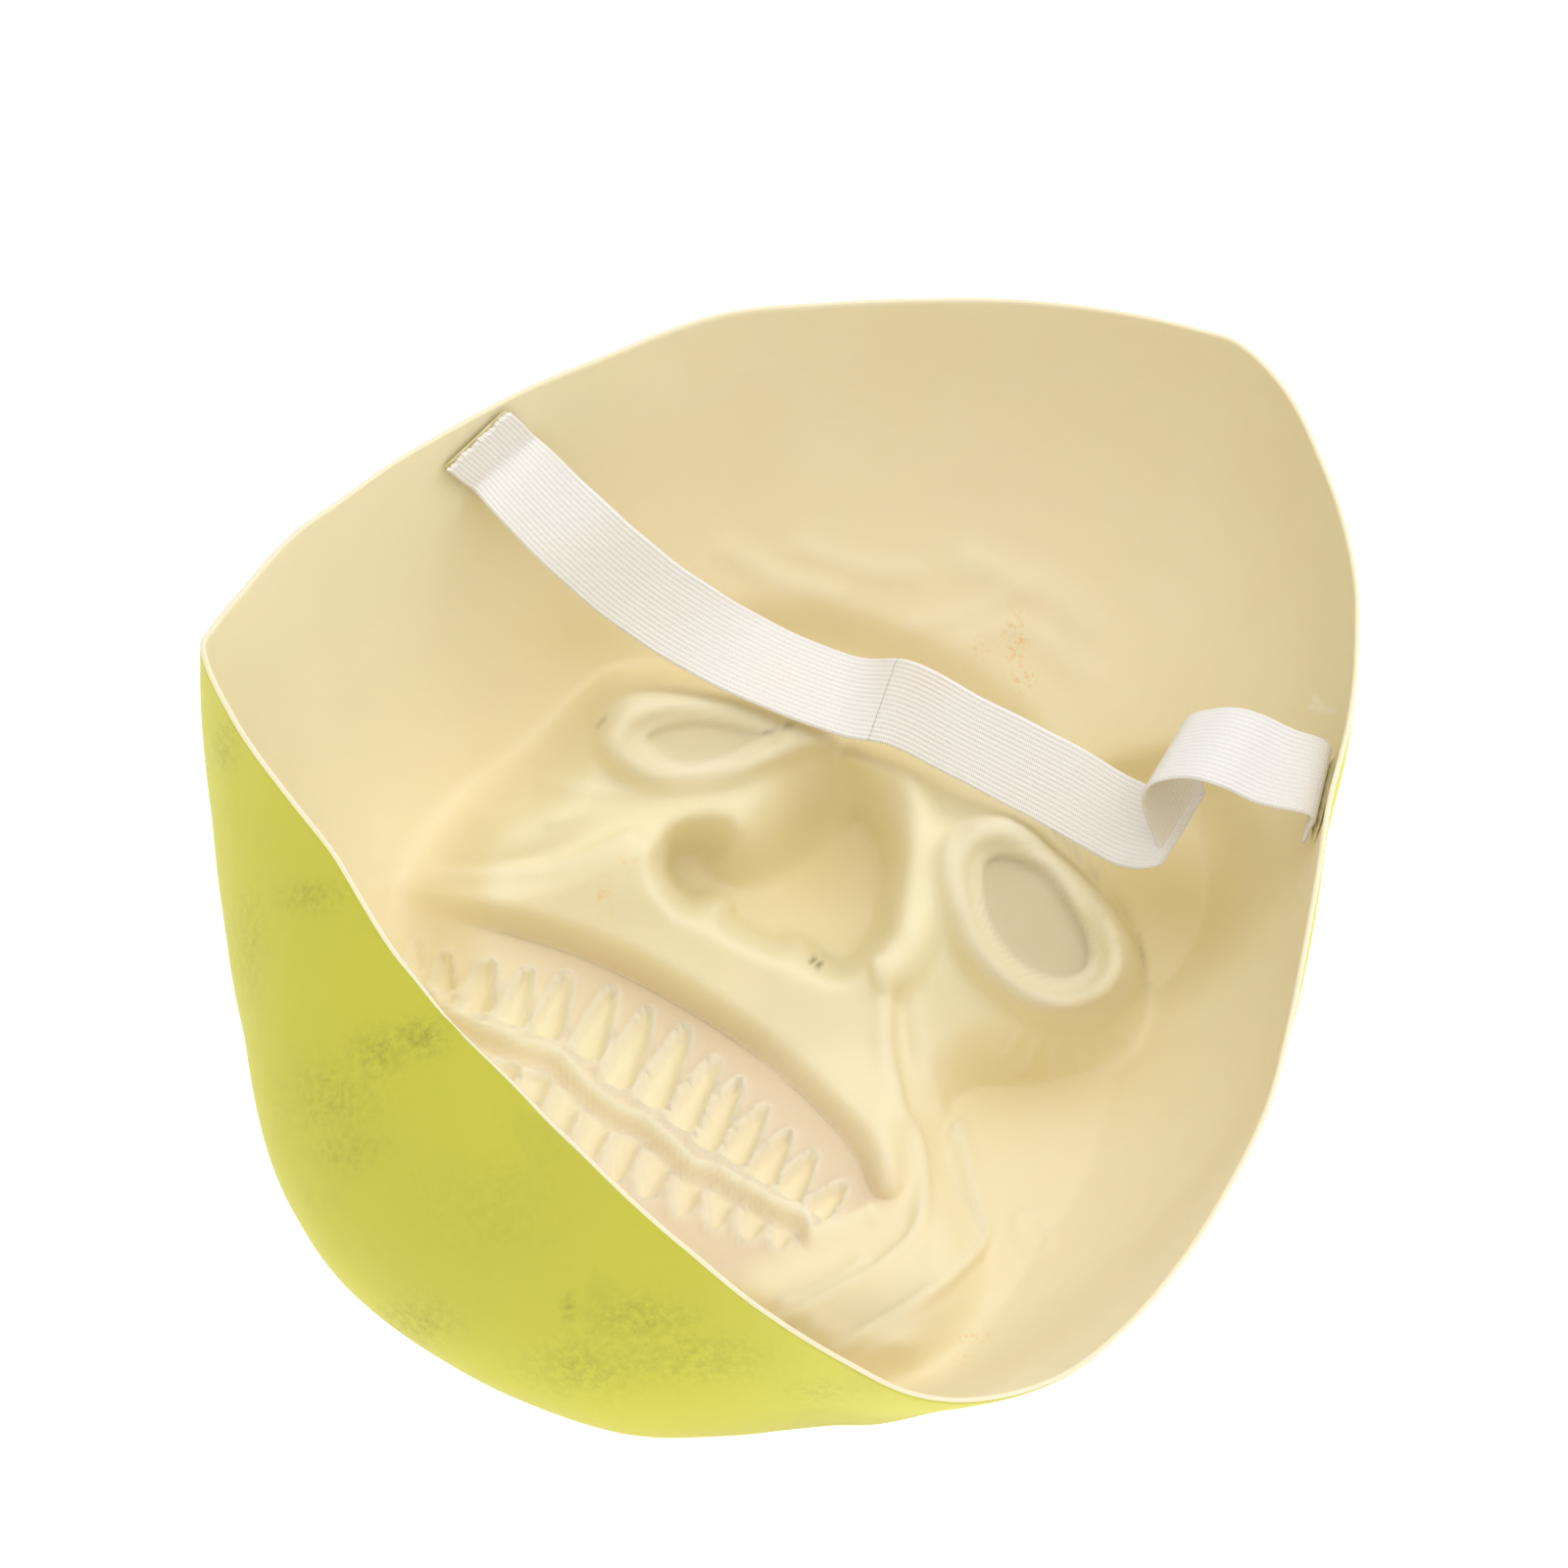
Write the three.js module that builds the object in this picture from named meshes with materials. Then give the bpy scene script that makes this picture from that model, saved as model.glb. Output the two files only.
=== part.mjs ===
import * as THREE from 'three';

// Latex halloween mask lying on its face with the hollow up. Millimetres, +Z up, rest plane z = 0.
// The forehead points to +X+Y and the chin to -X-Y. One elastic strap crosses the hollow.

// ---- driving dimensions ----
const SKIN = 1.5;                 // latex thickness
const GAP = 0.3;                  // clearance between touching pieces
const GRID = 44;                  // cells across the shell
const SINK = 9.0;                 // how far the soft bowl settles onto the table
const HINGE_GAP = 2.6;            // free length left between an end piece and the swinging web
const STRAP_WIDTH = 20;           // elastic width
const STRAP_THICK = 1.2;          // elastic thickness
const GLUE_THICK = 0.8;           // glue bond thickness
const GLUED_LEFT = 13;            // glued length of the left strap end
const GLUED_RIGHT = 6.5;          // glued length of the right strap end
const TAB_LEFT = 27;              // left end piece: glued length and the stub that stands off the wall
const TAB_RIGHT = 18;             // right end piece
const MIN_SOFT = 70;              // narrowest step of the relief on its drawing sheet
const CENTRE = [-4, -10];         // polar centre of the bowl in plan

// rim: [bearing degrees, radius, height]
const RIM = [
  [-172.3, 99.9, 110], [-162.5, 92.4, 106], [-144.8, 89.3, 99], [-137.1, 89.5, 96], [-126.9, 90.1, 92],
  [-120.0, 91.6, 88], [-110.6, 96.6, 84], [-98.0, 107.7, 77], [-89.4, 119.2, 72], [-82.3, 129.9, 68],
  [-76.8, 137.9, 64], [-71.1, 140.5, 60], [-63.6, 139.8, 57], [-56.8, 136.5, 57], [-48.1, 131.3, 58],
  [-39.4, 127.2, 61], [-29.8, 124.1, 65], [-20.0, 120.7, 68], [-10.3, 119.8, 72], [-0.8, 121.8, 75],
  [7.4, 126.2, 77], [15.7, 135.5, 80], [23.7, 145.5, 82], [28.1, 151.6, 84], [33.6, 158.6, 86],
  [40.1, 166.8, 88], [46.6, 175.5, 90], [51.9, 178.9, 92], [55.0, 176.1, 93], [60.0, 170.1, 95],
  [68.1, 161.1, 97], [76.0, 153.4, 98], [84.3, 146.2, 100], [93.3, 140.5, 102], [105.8, 128.4, 105],
  [117.9, 121.3, 108], [125.5, 117.9, 110], [133.5, 116.2, 112], [142.9, 115.7, 114], [150.8, 117.2, 116],
  [159.5, 118.6, 117], [166.3, 120.9, 118], [169.2, 121.6, 118], [177.1, 112.4, 115],
];
// wall shape by bearing: bulge past the rim, squareness in plan and in height
const BEARING = [-165, -135, -105, -75, -45, -15, 15, 45, 75, 105, 135, 165];
const BULGE = [26.5, 40.0, 28.6, -15.5, -11.7, 0, 0, 0, 0, 0, 0, 0.8];
const PLAN_POWER = [0.45, 0.45, 0.45, 0.52, 0.62, 0.62, 0.58, 0.68, 0.72, 0.68, 0.62, 0.45];
const RISE_POWER = [0.93, 0.93, 0.93, 0.80, 1, 1, 1, 1, 1, 1, 0.9, 0.93];

const FADE = [0.24, 0.22, 0.24, 0.40, 0.62, 0.72, 0.72, 0.72, 0.72, 0.60, 0.45, 0.28];   // where the face relief starts to die out up the wall

// ---- relief of the face: drawn on a sheet seen from a sight point, raised along the lines of sight ----
const SIGHT_TILT = 50 * Math.PI / 180;
const SIGHT_RANGE = 1300;
const SHEET = 5980;               // relief units per unit slope
const SHEET_X = 794, SHEET_Y = 883;
const AIM = [0, 0, 60];
// raised (+) and sunk (-) areas: height in mm, then [x, y, softness] round the edge
const AREAS = [
  { h: 23, p: [[600,735,60],[640,700,40],[720,700,26],[800,715,16],[860,750,10],[880,755,8],[960,790,8],[1040,835,8],[1100,890,8],[1145,945,8],[1157,990,30],[1130,1045,90],[1050,1080,120],[980,1110,120],[960,1180,90],[990,1260,80],[980,1330,80],[900,1420,80],[700,1500,80],[460,1400,80],[300,1150,80],[300,930,80],[400,880,80],[480,840,90],[560,800,90]] },
  { h: 16, p: [[600,735,60],[640,700,40],[720,700,26],[800,715,16],[860,750,10],[880,755,8],[960,790,8],[1040,835,8],[1100,890,8],[1145,945,8],[1157,990,30],[1130,1045,90],[1050,1080,120],[980,1060,160],[905,1010,160],[800,1000,160],[700,960,160],[600,900,160],[500,860,120],[540,800,90]] },
  { h: 12, p: [[962,870,12],[975,845,12],[1010,835,12],[1060,845,10],[1105,885,8],[1145,945,8],[1158,985,10],[1150,1015,12],[1120,1038,14],[1080,1040,14],[1030,1020,14],[985,975,14],[965,920,12]] },
  { h: -8, p: [[993,890,14],[1005,868,14],[1035,865,14],[1075,885,12],[1110,935,12],[1122,975,12],[1110,1000,14],[1075,1008,14],[1030,985,14],[1000,940,14]] },
  { h: 8, p: [[612,745,12],[630,715,14],[680,705,14],[740,712,12],[800,735,12],[862,747,12],[820,765,14],[760,788,14],[700,797,14],[650,795,14],[618,770,12]] },
  { h: -5, p: [[648,755,12],[670,735,12],[720,728,12],[790,745,12],[770,765,12],[720,787,12],[680,785,12]] },
  { h: 9, p: [[872,762,30],[940,790,30],[965,850,30],[960,930,34],[930,1000,34],[905,1000,16],[905,940,10],[915,870,24],[880,820,40]] },
  { h: 8, p: [[400,905,30],[470,905,36],[560,890,40],[640,855,30],[672,858,10],[670,885,8],[700,928,8],[745,948,8],[790,970,8],[835,990,8],[862,995,8],[900,960,10],[908,1000,20],[912,1100,20],[918,1190,16],[905,1215,14],[880,1160,14],[800,1080,14],[700,1010,14],[600,960,14],[480,925,14]] },
  { h: -26, p: [[675,885,8],[682,862,20],[705,853,40],[732,857,60],[748,875,70],[775,868,90],[800,845,100],[830,815,110],[880,800,110],[905,830,60],[912,880,20],[905,935,10],[893,962,8],[862,990,6],[838,984,6],[812,962,6],[790,966,6],[745,944,6],[738,922,6],[715,922,6],[700,925,6],[680,903,6]] },
  { h: -3, p: [[395,935,12],[480,928,14],[600,963,14],[700,1013,14],[800,1083,14],[878,1162,14],[908,1210,12],[893,1243,12],[868,1250,12],[838,1268,14],[790,1290,20],[740,1310,20],[680,1290,30],[600,1210,30],[520,1130,30],[440,1040,30],[405,980,20]] },
  { h: -14, p: [[1060,835,20],[1120,800,50],[1220,790,70],[1270,870,70],[1240,960,70],[1185,1000,60],[1160,985,30],[1145,945,12],[1100,890,10]] },
  { h: -8, p: [[700,690,40],[740,640,60],[880,650,60],[1040,740,60],[1060,835,20],[1040,830,10],[960,785,10],[880,748,10],[860,745,12],[800,710,16]] },
];
// creases and folds: height, half width, then [x, y] along the crest
const RIDGES = [
  { h: 4, w: 16, p: [[905,1000],[912,1060],[925,1110],[940,1180],[930,1230],[880,1280],[800,1315],[740,1330]] },
  { h: 4, w: 18, p: [[985,1190],[1005,1260],[990,1290],[900,1350],[850,1385]] },
];

// ---- strap: [near edge x, y, z, far edge x, y, z] from the left glued end to the right ----
const STRAP = [
  [-74.8, 80.7, 102.5, -61.0, 94.3, 107.5],
  [-72.1, 83.0, 96.6, -58.1, 96.8, 100.6],
  [-69.4, 85.1, 90.9, -55.1, 98.8, 93.8],
  [-55.3, 71.4, 84.0, -40.8, 81.7, 93.2],
  [-36.7, 65.9, 66.0, -23.7, 77.2, 76.2],
  [-12.1, 59.5, 51.0, -3.2, 76.2, 57.4],
  [12.6, 51.6, 45.0, 19.4, 69.2, 51.7],
  [24.9, 49.1, 44.5, 31.4, 63.0, 57.3],
  [40.6, 40.8, 42.0, 45.7, 55.1, 55.0],
  [60.7, 32.1, 36.0, 66.2, 46.4, 48.9],
  [77.4, 24.5, 30.5, 85.1, 40.2, 40.2],
  [84.7, 20.0, 34.8, 94.7, 36.4, 40.4],
  [87.6, 22.3, 35.2, 97.7, 38.7, 40.8],
  [86.4, 24.5, 39.4, 96.4, 40.9, 45.0],
  [83.9, 25.2, 45.6, 93.9, 41.5, 51.2],
  [82.7, 25.2, 52.3, 92.7, 41.6, 57.9],
  [84.2, 24.9, 57.7, 94.2, 41.3, 63.3],
  [88.6, 24.2, 60.6, 98.7, 40.6, 66.2],
  [93.9, 22.5, 62.6, 104.0, 38.8, 68.2],
  [99.9, 19.5, 63.0, 110.0, 35.9, 68.6],
  [106.2, 15.0, 63.6, 116.2, 31.3, 69.2],
  [118.3, 10.6, 63.6, 123.1, 29.8, 66.7],
  [117.6, 10.4, 59.6, 122.4, 29.6, 62.8],
  [116.8, 10.2, 55.8, 121.7, 29.4, 58.9],
];

// ---- helpers ----
function around(bearing, xs, ys) {
  let a = ((bearing + 180) % 360 + 360) % 360 - 180;
  const n = xs.length;
  const x = i => xs[((i % n) + n) % n] + 360 * Math.floor(i / n);
  const y = i => ys[((i % n) + n) % n];
  let i = -1;
  while (i + 1 < n && x(i + 1) <= a) i++;
  const m = k => (y(k + 1) - y(k - 1)) / (x(k + 1) - x(k - 1));
  const h = x(i + 1) - x(i), t = (a - x(i)) / h;
  return (2*t*t*t - 3*t*t + 1) * y(i) + (t*t*t - 2*t*t + t) * h * m(i)
    + (-2*t*t*t + 3*t*t) * y(i + 1) + (t*t*t - t*t) * h * m(i + 1);
}
const RIM_A = RIM.map(r => r[0]), RIM_R = RIM.map(r => r[1]), RIM_Z = RIM.map(r => r[2]);

// bowl section at one bearing, evenly spaced from the bottom centre (s = 0) to the rim (s = 1)
function bowl(bearing, s) {
  const rr = around(bearing, RIM_A, RIM_R), zr = around(bearing, RIM_A, RIM_Z);
  const b = around(bearing, BEARING, BULGE), p = around(bearing, BEARING, PLAN_POWER), q = around(bearing, BEARING, RISE_POWER);
  const at = t => {
    const si = Math.sin(t * Math.PI / 2), co = Math.max(0, Math.cos(t * Math.PI / 2));
    return [rr * Math.pow(si, p) + b * 6.75 * t * t * (1 - t), zr * (1 - Math.pow(co, q)) - SINK * (1 - t * t * t)];
  };
  const N = 64, len = [0];
  let prev = at(0);
  for (let i = 1; i <= N; i++) {
    const cur = at((i / N) ** 2);
    len.push(len[i - 1] + Math.hypot(cur[0] - prev[0], cur[1] - prev[1]));
    prev = cur;
  }
  const want = s * len[N];
  let i = 1;
  while (i < N && len[i] < want) i++;
  const f = (want - len[i - 1]) / (len[i] - len[i - 1]);
  const t0 = ((i - 1) / N) ** 2, t1 = (i / N) ** 2;
  const [rho, z] = at(t0 + (t1 - t0) * f);
  const a = bearing * Math.PI / 180;
  return new THREE.Vector3(CENTRE[0] + rho * Math.cos(a), CENTRE[1] + rho * Math.sin(a), z);
}

const LOOK = new THREE.Vector3(0, Math.cos(SIGHT_TILT), -Math.sin(SIGHT_TILT));
const UPWARD = new THREE.Vector3(0, Math.sin(SIGHT_TILT), Math.cos(SIGHT_TILT));
const SIGHT = new THREE.Vector3(...AIM).addScaledVector(LOOK, -SIGHT_RANGE);
function onSheet(v) {
  const d = v.clone().sub(SIGHT), depth = d.dot(LOOK);
  return [SHEET_X + SHEET * d.x / depth, SHEET_Y - SHEET * d.dot(UPWARD) / depth];
}
const smooth = t => { t = Math.min(1, Math.max(0, t)); return t * t * (3 - 2 * t); };
function inArea(x, y, poly) {
  let best = 1e9, soft = 1, inside = false;
  for (let i = 0, j = poly.length - 1; i < poly.length; j = i++) {
    const [ax, ay, as] = poly[j], [bx, by, bs] = poly[i];
    const ex = bx - ax, ey = by - ay;
    const t = Math.min(1, Math.max(0, ((x - ax) * ex + (y - ay) * ey) / (ex * ex + ey * ey)));
    const d = Math.hypot(x - ax - t * ex, y - ay - t * ey);
    if (d < best) { best = d; soft = as + (bs - as) * t; }
    if ((ay > y) !== (by > y) && x < ax + (y - ay) / (by - ay) * ex) inside = !inside;
  }
  const w = Math.hypot(soft, MIN_SOFT);
  return smooth((inside ? best : -best) / w + 0.5);
}
function nearLine(x, y, line, w) {
  let best = 1e9;
  for (let i = 1; i < line.length; i++) {
    const [ax, ay] = line[i - 1], [bx, by] = line[i];
    const ex = bx - ax, ey = by - ay;
    const t = Math.min(1, Math.max(0, ((x - ax) * ex + (y - ay) * ey) / (ex * ex + ey * ey)));
    best = Math.min(best, Math.hypot(x - ax - t * ex, y - ay - t * ey));
  }
  return Math.exp(-best * best / (w * w));
}
function relief(x, y) {
  let h = 0;
  for (const a of AREAS) h += a.h * inArea(x, y, a.p);
  for (const r of RIDGES) h += r.h * nearLine(x, y, r.p, Math.hypot(r.w, 14));
  return h;
}
function hollow(bearing, s) {
  const v = bowl(bearing, s);
  const [x, y] = onSheet(v);
  const f = around(bearing, BEARING, FADE);
  const h = relief(x, y) * (1 - smooth((s - f) / 0.18));
  v.addScaledVector(SIGHT.clone().sub(v).normalize(), h);
  v.z = Math.max(v.z, SKIN);
  return v;
}

// ---- latex shell ----
function shellGeometry() {
  const plane = new THREE.PlaneGeometry(2, 2, GRID, GRID);
  const uv = plane.attributes.position, n = uv.count;
  const inner = [];
  for (let i = 0; i < n; i++) {
    const u = uv.getX(i), v = uv.getY(i);
    const x = u * Math.sqrt(1 - v * v / 2), y = v * Math.sqrt(1 - u * u / 2);
    inner.push(hollow(Math.atan2(y, x) * 180 / Math.PI, Math.min(1, Math.hypot(x, y))));
  }
  const sheet = new THREE.BufferGeometry().setFromPoints(inner);
  sheet.setIndex(plane.index);
  sheet.computeVertexNormals();
  const nrm = sheet.attributes.normal;
  const pos = [];
  for (const v of inner) pos.push(v.x, v.y, v.z);
  const N1 = GRID + 1;
  for (let i = 0; i < n; i++) {
    const v = inner[i].clone(), c = i % N1, r = (i - c) / N1;
    const edge = c === 0 || r === 0 || c === GRID || r === GRID;
    const m = new THREE.Vector3(nrm.getX(i), nrm.getY(i), nrm.getZ(i));
    if (edge) { m.z = 0; m.normalize(); }
    v.addScaledVector(m, -SKIN);
    if (inner[i].z <= SKIN + 0.02) { v.x = inner[i].x; v.y = inner[i].y; v.z = 0; }
    v.z = Math.max(v.z, 0);
    pos.push(v.x, v.y, v.z);
  }
  const idx = [], src = plane.index.array;
  for (let k = 0; k < src.length; k += 3) {
    idx.push(src[k], src[k + 1], src[k + 2]);
    idx.push(n + src[k], n + src[k + 2], n + src[k + 1]);
  }
  const ring = [];
  for (let c = 0; c < GRID; c++) ring.push(c);
  for (let r = 0; r < GRID; r++) ring.push(r * N1 + GRID);
  for (let c = GRID; c > 0; c--) ring.push(GRID * N1 + c);
  for (let r = GRID; r > 0; r--) ring.push(r * N1);
  for (let k = 0; k < ring.length; k++) {
    const a = ring[k], b = ring[(k + 1) % ring.length];
    idx.push(a, b, n + b, a, n + b, n + a);
  }
  const g = new THREE.BufferGeometry();
  g.setAttribute('position', new THREE.Float32BufferAttribute(pos, 3));
  g.setIndex(idx);
  g.computeVertexNormals();
  return g;
}

// ---- flat band between two edge curves ----
const NEAR = new THREE.CatmullRomCurve3(STRAP.map(s => new THREE.Vector3(s[0], s[1], s[2])), false, 'centripetal');
const FAR = new THREE.CatmullRomCurve3(STRAP.map(s => new THREE.Vector3(s[3], s[4], s[5])), false, 'centripetal');
const MID = new THREE.CatmullRomCurve3(STRAP.map(s => new THREE.Vector3((s[0] + s[3]) / 2, (s[1] + s[4]) / 2, (s[2] + s[5]) / 2)), false, 'centripetal');
const LENGTHS = (() => {
  const out = [0];
  let a = MID.getPoint(0);
  for (let i = 1; i <= 1000; i++) { const b = MID.getPoint(i / 1000); out.push(out[i - 1] + a.distanceTo(b)); a = b; }
  return out;
})();
const STRAP_LENGTH = LENGTHS[1000];
function paramAt(mm) {
  let i = 1;
  while (i < 1000 && LENGTHS[i] < mm) i++;
  return (i - 1 + (mm - LENGTHS[i - 1]) / (LENGTHS[i] - LENGTHS[i - 1])) / 1000;
}
function bandFrame(mm) {
  const t = Math.min(1, Math.max(0, paramAt(mm)));
  const a = NEAR.getPoint(t), b = FAR.getPoint(t), c = a.clone().add(b).multiplyScalar(0.5);
  const d = MID.getPoint(Math.min(1, t + 1e-3)).sub(MID.getPoint(Math.max(0, t - 1e-3))).normalize();
  const w = b.sub(a).addScaledVector(d, -b.dot(d)).normalize();
  const up = new THREE.Vector3().crossVectors(d, w).normalize();
  return { c, w, up };
}
// a band from mm0 to mm1 along the strap, between two offsets below the strap's middle surface
function band(mm0, mm1, steps, lo, hi, width) {
  const box = new THREE.BoxGeometry(1, 1, 1, steps, 2, 1);
  const pos = box.attributes.position;
  for (let i = 0; i < pos.count; i++) {
    const f = bandFrame(mm0 + (pos.getX(i) + 0.5) * (mm1 - mm0));
    const p = f.c.addScaledVector(f.w, pos.getY(i) * width).addScaledVector(f.up, lo + (pos.getZ(i) + 0.5) * (hi - lo));
    pos.setXYZ(i, p.x, p.y, p.z);
  }
  box.computeVertexNormals();
  return box;
}

const root = new THREE.Group();
root.name = 'latex_halloween_mask';
function add(name, geometry, colour, roughness) {
  const g = geometry;
  g.deleteAttribute('uv');
  const m = new THREE.Mesh(g, new THREE.MeshStandardMaterial({ color: colour, roughness, metalness: 0 }));
  m.name = name;
  root.add(m);
}
const T = STRAP_THICK, LAST = STRAP_LENGTH;
add('mask_shell', shellGeometry(), 0xe6d9a8, 0.55);
add('strap_end_left', band(0, TAB_LEFT, 12, 0, T, STRAP_WIDTH), 0xf0ece4, 0.9);
add('strap_end_right', band(LAST - TAB_RIGHT, LAST, 8, 0, T, STRAP_WIDTH), 0xf0ece4, 0.9);
add('strap_web', band(TAB_LEFT + HINGE_GAP, LAST - TAB_RIGHT - HINGE_GAP, 60, 0, T, STRAP_WIDTH), 0xf0ece4, 0.9);
add('glue_pad_left', band(1, GLUED_LEFT - 1, 4, -GAP - GLUE_THICK, -GAP, STRAP_WIDTH - 3), 0xd8cf9a, 0.5);
add('glue_pad_right', band(LAST - GLUED_RIGHT + 0.8, LAST - 0.8, 3, T + GAP, T + GAP + GLUE_THICK, STRAP_WIDTH - 3), 0xd8cf9a, 0.5);

// the row's origin is the middle of the footprint, on the table
const whole = new THREE.Box3().setFromObject(root);
for (const m of root.children) m.geometry.translate(-(whole.min.x + whole.max.x) / 2, -(whole.min.y + whole.max.y) / 2, -whole.min.z);
export default root;
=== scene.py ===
import math
import bpy
import numpy as np
from mathutils import Vector, Matrix


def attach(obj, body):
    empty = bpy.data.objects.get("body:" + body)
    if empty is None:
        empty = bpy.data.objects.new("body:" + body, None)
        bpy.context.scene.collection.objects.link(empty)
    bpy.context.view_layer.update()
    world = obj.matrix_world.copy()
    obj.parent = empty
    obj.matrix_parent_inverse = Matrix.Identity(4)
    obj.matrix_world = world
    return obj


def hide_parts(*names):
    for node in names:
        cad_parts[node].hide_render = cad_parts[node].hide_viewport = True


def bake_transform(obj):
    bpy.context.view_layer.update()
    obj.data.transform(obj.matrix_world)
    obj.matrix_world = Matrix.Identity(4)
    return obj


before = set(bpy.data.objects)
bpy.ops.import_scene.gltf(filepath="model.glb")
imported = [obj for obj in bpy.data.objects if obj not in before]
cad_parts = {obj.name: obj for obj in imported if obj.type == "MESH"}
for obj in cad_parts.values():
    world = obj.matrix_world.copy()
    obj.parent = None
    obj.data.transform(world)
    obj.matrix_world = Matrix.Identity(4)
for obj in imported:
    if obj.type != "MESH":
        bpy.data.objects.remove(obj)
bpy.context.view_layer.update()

# ---------------- shape data, millimetres, drawn about the bowl's own centre ----------------
SHIFT = np.array([-2.645, 2.485, 0.0])      # bowl frame to row frame
SKIN, SINK = 1.5, 9.0
CENTRE = (-4.0, -10.0)
RIM = [
  [-172.3, 99.9, 110], [-162.5, 92.4, 106], [-144.8, 89.3, 99], [-137.1, 89.5, 96], [-126.9, 90.1, 92],
  [-120.0, 91.6, 88], [-110.6, 96.6, 84], [-98.0, 107.7, 77], [-89.4, 119.2, 72], [-82.3, 129.9, 68],
  [-76.8, 137.9, 64], [-71.1, 140.5, 60], [-63.6, 139.8, 57], [-56.8, 136.5, 57], [-48.1, 131.3, 58],
  [-39.4, 127.2, 61], [-29.8, 124.1, 65], [-20.0, 120.7, 68], [-10.3, 119.8, 72], [-0.8, 121.8, 75],
  [7.4, 126.2, 77], [15.7, 135.5, 80], [23.7, 145.5, 82], [28.1, 151.6, 84], [33.6, 158.6, 86],
  [40.1, 166.8, 88], [46.6, 175.5, 90], [51.9, 178.9, 92], [55.0, 176.1, 93], [60.0, 170.1, 95],
  [68.1, 161.1, 97], [76.0, 153.4, 98], [84.3, 146.2, 100], [93.3, 140.5, 102], [105.8, 128.4, 105],
  [117.9, 121.3, 108], [125.5, 117.9, 110], [133.5, 116.2, 112], [142.9, 115.7, 114], [150.8, 117.2, 116],
  [159.5, 118.6, 117], [166.3, 120.9, 118], [169.2, 121.6, 118], [177.1, 112.4, 115],
]
BEARING = [-165, -135, -105, -75, -45, -15, 15, 45, 75, 105, 135, 165]
BULGE = [26.5, 40.0, 28.6, -15.5, -11.7, 0, 0, 0, 0, 0, 0, 0.8]
PLAN_POWER = [0.45, 0.45, 0.45, 0.52, 0.62, 0.62, 0.58, 0.68, 0.72, 0.68, 0.62, 0.45]
RISE_POWER = [0.93, 0.93, 0.93, 0.80, 1, 1, 1, 1, 1, 1, 0.9, 0.93]
FADE = [0.24, 0.22, 0.24, 0.40, 0.62, 0.72, 0.72, 0.72, 0.72, 0.60, 0.45, 0.28]
AREAS = [
  {"h": 23, "p": [[600,735,60],[640,700,40],[720,700,26],[800,715,16],[860,750,10],[880,755,8],[960,790,8],[1040,835,8],[1100,890,8],[1145,945,8],[1157,990,30],[1130,1045,90],[1050,1080,120],[980,1110,120],[960,1180,90],[990,1260,80],[980,1330,80],[900,1420,80],[700,1500,80],[460,1400,80],[300,1150,80],[300,930,80],[400,880,80],[480,840,90],[560,800,90]] },
  {"h": 16, "p": [[600,735,60],[640,700,40],[720,700,26],[800,715,16],[860,750,10],[880,755,8],[960,790,8],[1040,835,8],[1100,890,8],[1145,945,8],[1157,990,30],[1130,1045,90],[1050,1080,120],[980,1060,160],[905,1010,160],[800,1000,160],[700,960,160],[600,900,160],[500,860,120],[540,800,90]] },
  {"h": 12, "p": [[962,870,12],[975,845,12],[1010,835,12],[1060,845,10],[1105,885,8],[1145,945,8],[1158,985,10],[1150,1015,12],[1120,1038,14],[1080,1040,14],[1030,1020,14],[985,975,14],[965,920,12]] },
  {"h": -8, "p": [[993,890,14],[1005,868,14],[1035,865,14],[1075,885,12],[1110,935,12],[1122,975,12],[1110,1000,14],[1075,1008,14],[1030,985,14],[1000,940,14]] },
  {"h": 8, "p": [[612,745,12],[630,715,14],[680,705,14],[740,712,12],[800,735,12],[862,747,12],[820,765,14],[760,788,14],[700,797,14],[650,795,14],[618,770,12]] },
  {"h": -5, "p": [[648,755,12],[670,735,12],[720,728,12],[790,745,12],[770,765,12],[720,787,12],[680,785,12]] },
  {"h": 9, "p": [[872,762,30],[940,790,30],[965,850,30],[960,930,34],[930,1000,34],[905,1000,16],[905,940,10],[915,870,24],[880,820,40]] },
  {"h": 8, "p": [[400,905,30],[470,905,36],[560,890,40],[640,855,30],[672,858,10],[670,885,8],[700,928,8],[745,948,8],[790,970,8],[835,990,8],[862,995,8],[900,960,10],[908,1000,20],[912,1100,20],[918,1190,16],[905,1215,14],[880,1160,14],[800,1080,14],[700,1010,14],[600,960,14],[480,925,14]] },
  {"h": -26, "p": [[675,885,8],[682,862,20],[705,853,40],[732,857,60],[748,875,70],[775,868,90],[800,845,100],[830,815,110],[880,800,110],[905,830,60],[912,880,20],[905,935,10],[893,962,8],[862,990,6],[838,984,6],[812,962,6],[790,966,6],[745,944,6],[738,922,6],[715,922,6],[700,925,6],[680,903,6]] },
  {"h": -3, "p": [[395,935,12],[480,928,14],[600,963,14],[700,1013,14],[800,1083,14],[878,1162,14],[908,1210,12],[893,1243,12],[868,1250,12],[838,1268,14],[790,1290,20],[740,1310,20],[680,1290,30],[600,1210,30],[520,1130,30],[440,1040,30],[405,980,20]] },
  {"h": -14, "p": [[1060,835,20],[1120,800,50],[1220,790,70],[1270,870,70],[1240,960,70],[1185,1000,60],[1160,985,30],[1145,945,12],[1100,890,10]] },
  {"h": -8, "p": [[700,690,40],[740,640,60],[880,650,60],[1040,740,60],[1060,835,20],[1040,830,10],[960,785,10],[880,748,10],[860,745,12],[800,710,16]] },
]
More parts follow.
